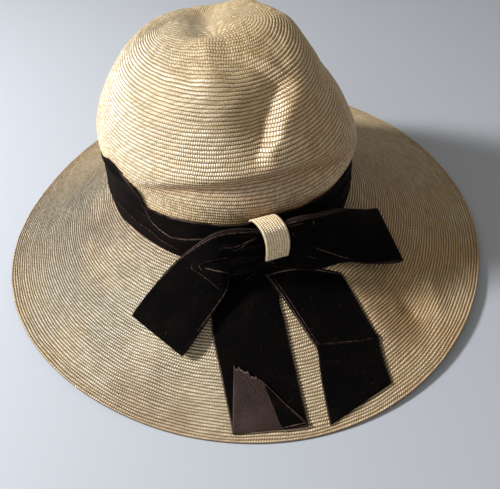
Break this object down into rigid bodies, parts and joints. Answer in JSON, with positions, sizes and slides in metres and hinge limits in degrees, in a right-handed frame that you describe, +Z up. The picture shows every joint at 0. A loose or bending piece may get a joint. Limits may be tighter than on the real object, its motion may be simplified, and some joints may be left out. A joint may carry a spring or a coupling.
{
  "type": "straw hat",
  "caption": "Wide-brimmed straw hat with a dented crown, pleated velvet ribbon band and a flat ribbon bow held by a straw keeper; rests on its brim, open below for a head.",
  "frame": {"origin": "On the surface the hat rests on, below the middle of the brim's outline", "axes": "+Z up, +X to the right of a viewer facing the bow, +Y away from that viewer, so the bow faces -Y"},
  "size_m": [0.3769, 0.3836, 0.1654],
  "materials": {
    "straw": "sewn rows of fine straw plait with a soft sheen",
    "velvet": "dark brown velvet ribbon with paler worn edges",
    "plait": "pale straw plait with fine lengthwise rows"
  },
  "bodies": {
    "root": {"brim": "straw", "crown_side": "straw", "crown_top": "straw", "ribbon_band": "velvet", "bow_tail_left": "velvet", "bow_tail_right": "velvet", "bow_loop_left": "velvet", "bow_loop_right": "velvet", "bow_keeper": "plait"}
  },
  "joints": []
}
